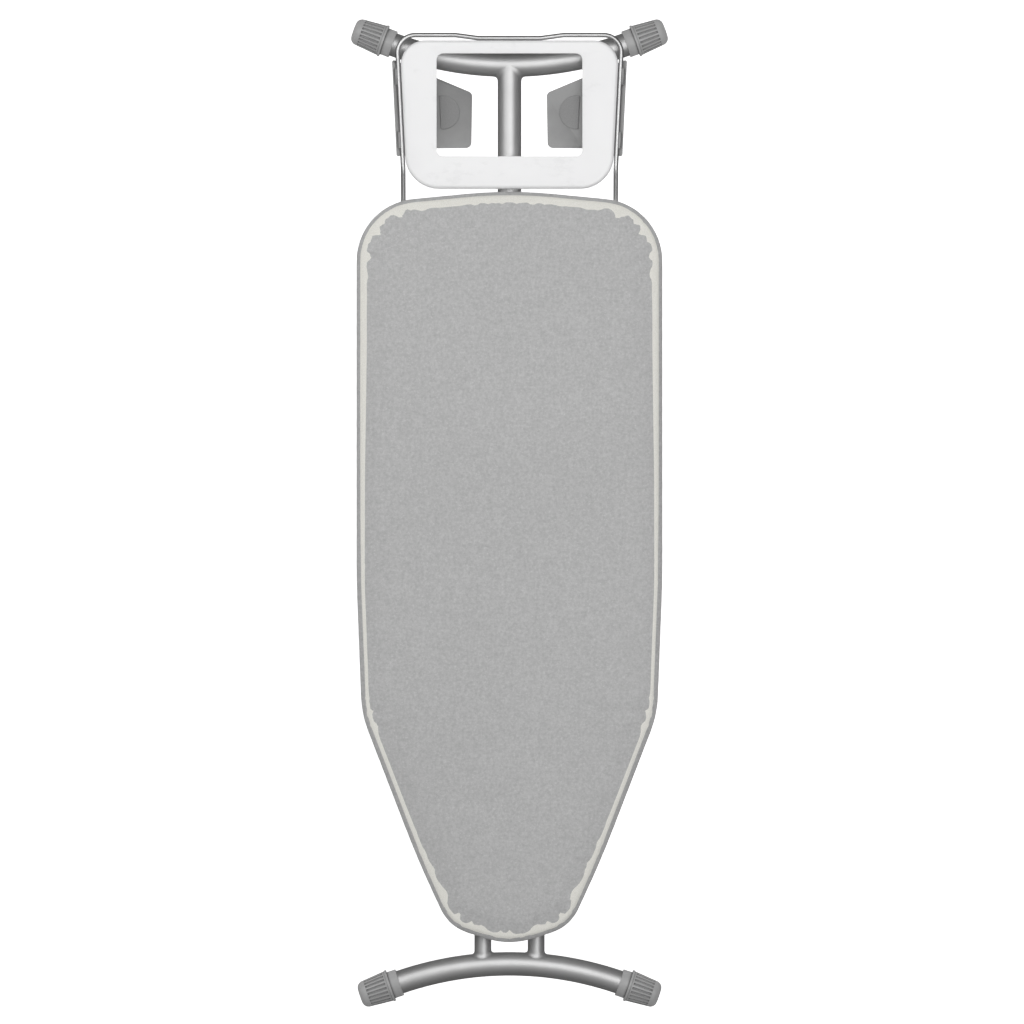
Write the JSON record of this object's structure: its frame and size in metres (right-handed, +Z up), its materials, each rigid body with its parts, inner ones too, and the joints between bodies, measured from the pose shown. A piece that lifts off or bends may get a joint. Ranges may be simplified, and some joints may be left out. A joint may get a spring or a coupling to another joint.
{
  "type": "ironing board",
  "caption": "Folding ironing board with a padded tapered top, a T-shaped leg crossed by a twin leg, a sliding height lock and a wire-framed rest for a steam iron.",
  "frame": {"origin": "on the floor at the middle of the folded board, under the bolt where the legs cross", "axes": "+X across the board, +Y towards the iron rest with the nose at -Y, +Z up out of the ironing surface"},
  "size_m": [0.4698, 1.4635, 0.0675],
  "materials": {
    "enamelled_steel": "satin grey enamel on pressed steel",
    "foam": "soft open-cell foam",
    "cover_fabric": "fine metallised weave, light grey",
    "dark_plastic": "black moulded nylon",
    "grey_plastic": "mid-grey moulded plastic, fine texture",
    "flap_plastic": "mid-grey moulded plastic",
    "soft_rubber": "soft grey rubber",
    "zinc_steel": "bright zinc plate",
    "silver_tube": "silver powder coat, satin",
    "chromed_wire": "bright plated wire",
    "white_enamel": "white enamel on pressed steel"
  },
  "bodies": {
    "board": {"top_sheet": "enamelled_steel", "foam_pad": "foam", "cover": "cover_fabric", "rib_rear": "enamelled_steel", "rib_middle": "enamelled_steel", "rib_front": "enamelled_steel", "rib_waist": "enamelled_steel", "rib_nose": "enamelled_steel", "rail_left": "enamelled_steel", "rail_right": "enamelled_steel", "rail_end_plugs": "dark_plastic", "rod_bearings": "dark_plastic", "lever_spring": "zinc_steel", "hinge_bracket": "zinc_steel", "hinge_pin": "zinc_steel", "bracket_rivets": "zinc_steel", "rest_wire": "chromed_wire", "rest_plate": "white_enamel", "rest_clamps": "grey_plastic", "clamp_screws": "zinc_steel"},
    "t_leg": {"t_leg_tube": "silver_tube", "t_foot_tube": "silver_tube", "t_foot_cap_left": "grey_plastic", "t_foot_cap_right": "grey_plastic", "t_leg_end_plug": "dark_plastic", "hinge_bush": "dark_plastic", "crossing_bush": "dark_plastic"},
    "twin_leg": {"twin_tube_left": "silver_tube", "twin_tube_right": "silver_tube", "twin_foot_tube": "silver_tube", "twin_foot_cap_left": "grey_plastic", "twin_foot_cap_right": "grey_plastic", "twin_end_plugs": "dark_plastic", "slide_pin_left": "zinc_steel", "slide_pin_right": "zinc_steel", "crossing_spacers": "dark_plastic", "crossing_washers": "zinc_steel", "crossing_bolt": "zinc_steel", "crossing_nut": "zinc_steel"},
    "carriage": {"slider_left": "dark_plastic", "slider_right": "dark_plastic", "slide_yoke": "zinc_steel", "yoke_screws": "zinc_steel"},
    "lever": {"lever_handle": "grey_plastic", "release_rod": "zinc_steel", "lock_comb": "zinc_steel"},
    "flap_left": {"rest_flap_left": "flap_plastic", "flap_pad_left": "soft_rubber"},
    "flap_right": {"rest_flap_right": "flap_plastic", "flap_pad_right": "soft_rubber"}
  },
  "joints": [
    {"name": "board_fold", "type": "hinge", "parent": "board", "child": "t_leg", "pos_m": [0, -0.415, 0.024], "axis": [-1, 0, 0], "range_deg": [0, 52]},
    {"name": "leg_cross", "type": "hinge", "parent": "t_leg", "child": "twin_leg", "pos_m": [0, 0, 0.024], "axis": [1, 0, 0], "range_deg": [0, 104]},
    {"name": "slide_pivot", "type": "hinge", "parent": "twin_leg", "child": "carriage", "pos_m": [0, 0.415, 0.024], "axis": [-1, 0, 0], "range_deg": [0, 52]},
    {"name": "release_lever", "type": "hinge", "parent": "board", "child": "lever", "pos_m": [0.087, 0, 0.041], "axis": [0, 1, 0], "range_deg": [0, 24], "stiffness_Nm_per_rad": 0.4, "springref_deg": 34.38},
    {"name": "flap_left_hinge", "type": "hinge", "parent": "board", "child": "flap_left", "pos_m": [-0.157, 0.508, 0.0545], "axis": [-0.0483, 0.9988, 0], "range_deg": [0, 95]},
    {"name": "flap_right_hinge", "type": "hinge", "parent": "board", "child": "flap_right", "pos_m": [0.157, 0.508, 0.0545], "axis": [-0.0483, -0.9988, 0], "range_deg": [0, 95]}
  ],
  "couplings": [
    {"joint": "leg_cross", "follows": "board_fold", "ratio": 2},
    {"joint": "slide_pivot", "follows": "board_fold", "ratio": 1}
  ]
}
